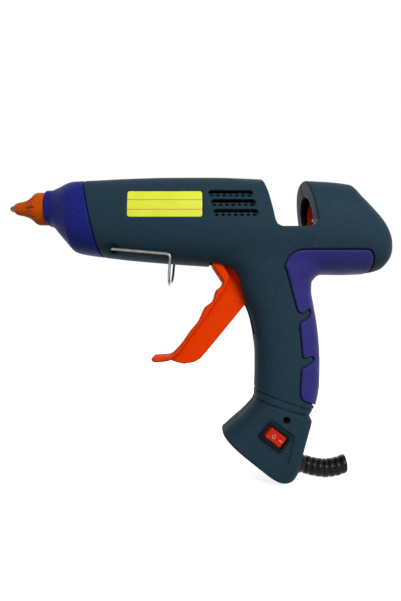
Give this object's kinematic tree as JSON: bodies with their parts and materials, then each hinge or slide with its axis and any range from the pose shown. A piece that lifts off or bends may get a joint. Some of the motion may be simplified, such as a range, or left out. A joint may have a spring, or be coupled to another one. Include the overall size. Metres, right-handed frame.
{
  "type": "hot glue gun",
  "caption": "Corded hot glue gun for 11 mm sticks, with a trigger that drives a feed carriage, an open-topped loading gap, a folding wire stand, a side rocker switch and a ribbed cord relief",
  "frame": {"origin": "middle of the underside of the bounding box", "axes": "the nozzle points along -X, the handle hangs down along -Z, and the side with the switch and the label faces -Y"},
  "size_m": [0.2368, 0.048, 0.1868],
  "materials": {
    "casing": "slate grey moulded nylon, fine satin texture",
    "grip_skin": "violet-blue moulded rubber",
    "collar": "blue moulded plastic, satin",
    "label": "plain yellow film",
    "nozzle": "turned, dulled by heat",
    "cap": "orange-brown silicone",
    "chamber": "die-cast",
    "contact": "pressed sheet",
    "heater": "fired, matte",
    "insulator": "heat-proof, off-white",
    "black_plastic": "moulded, satin",
    "trigger": "orange-red moulded plastic",
    "fastener": "zinc plated",
    "wire": "bright drawn wire",
    "rocker": "glossy red",
    "relief": "soft black, matte",
    "lead": "insulated wire"
  },
  "bodies": {
    "body": {"left_casing": "casing", "right_casing": "casing", "left_grip_skin": "grip_skin", "right_grip_skin": "grip_skin", "label_plate": "label", "nose_collar": "collar", "nozzle": "nozzle", "nozzle_cap": "cap", "heating_chamber": "chamber", "lower_electrode": "contact", "upper_electrode": "contact", "heater_element": "heater", "front_bulkhead": "insulator", "rear_bulkhead": "insulator", "inlet_sleeve": "insulator", "sleeve_clip": "fastener", "stick_guide": "black_plastic", "trigger_pin": "fastener", "return_spring": "fastener", "switch_body": "black_plastic", "terminal_upper": "contact", "terminal_lower": "contact", "cord_relief": "relief", "cord_clamp": "black_plastic", "clamp_screw_upper": "fastener", "clamp_screw_lower": "fastener", "live_lead": "lead", "feed_lead": "lead", "switched_lead": "lead", "casing_screw_1": "fastener", "casing_screw_2": "fastener", "casing_screw_3": "fastener", "casing_screw_4": "fastener", "casing_screw_5": "fastener", "casing_screw_6": "fastener", "foot_screw": "fastener"},
    "trigger": {"trigger": "trigger"},
    "carriage": {"feed_carriage": "trigger", "jaw_pin": "fastener"},
    "jaw": {"grip_jaw": "fastener"},
    "stand": {"wire_stand": "wire"},
    "rocker": {"switch_rocker": "rocker"}
  },
  "joints": [
    {"name": "trigger_swing", "type": "hinge", "parent": "body", "child": "trigger", "pos_m": [0.03, 0, 0.131], "axis": [0, -1, 0], "range_deg": [0, 26], "stiffness_Nm_per_rad": 0.05, "springref_deg": -11.46},
    {"name": "carriage_slide", "type": "slide", "parent": "body", "child": "carriage", "axis": [-1, 0, 0], "range_m": [0, 0.0073], "deforming": ["return_spring"]},
    {"name": "jaw_tip", "type": "hinge", "parent": "carriage", "child": "jaw", "pos_m": [0.07894, 0, 0.15752], "axis": [0, 1, 0], "range_deg": [0, 8], "stiffness_Nm_per_rad": 0.002, "springref_deg": -5.73},
    {"name": "stand_swing", "type": "hinge", "parent": "body", "child": "stand", "pos_m": [-0.05101, 0, 0.1413], "axis": [0, 1, 0], "range_deg": [0, 100]},
    {"name": "rocker_tilt", "type": "hinge", "parent": "body", "child": "rocker", "pos_m": [0.0448, -0.0173, 0.03106], "axis": [0.6157, 0, 0.788], "range_deg": [0, 18]}
  ],
  "couplings": [
    {"joint": "carriage_slide", "follows": "trigger_swing", "m_per_rad": 0.01586}
  ]
}
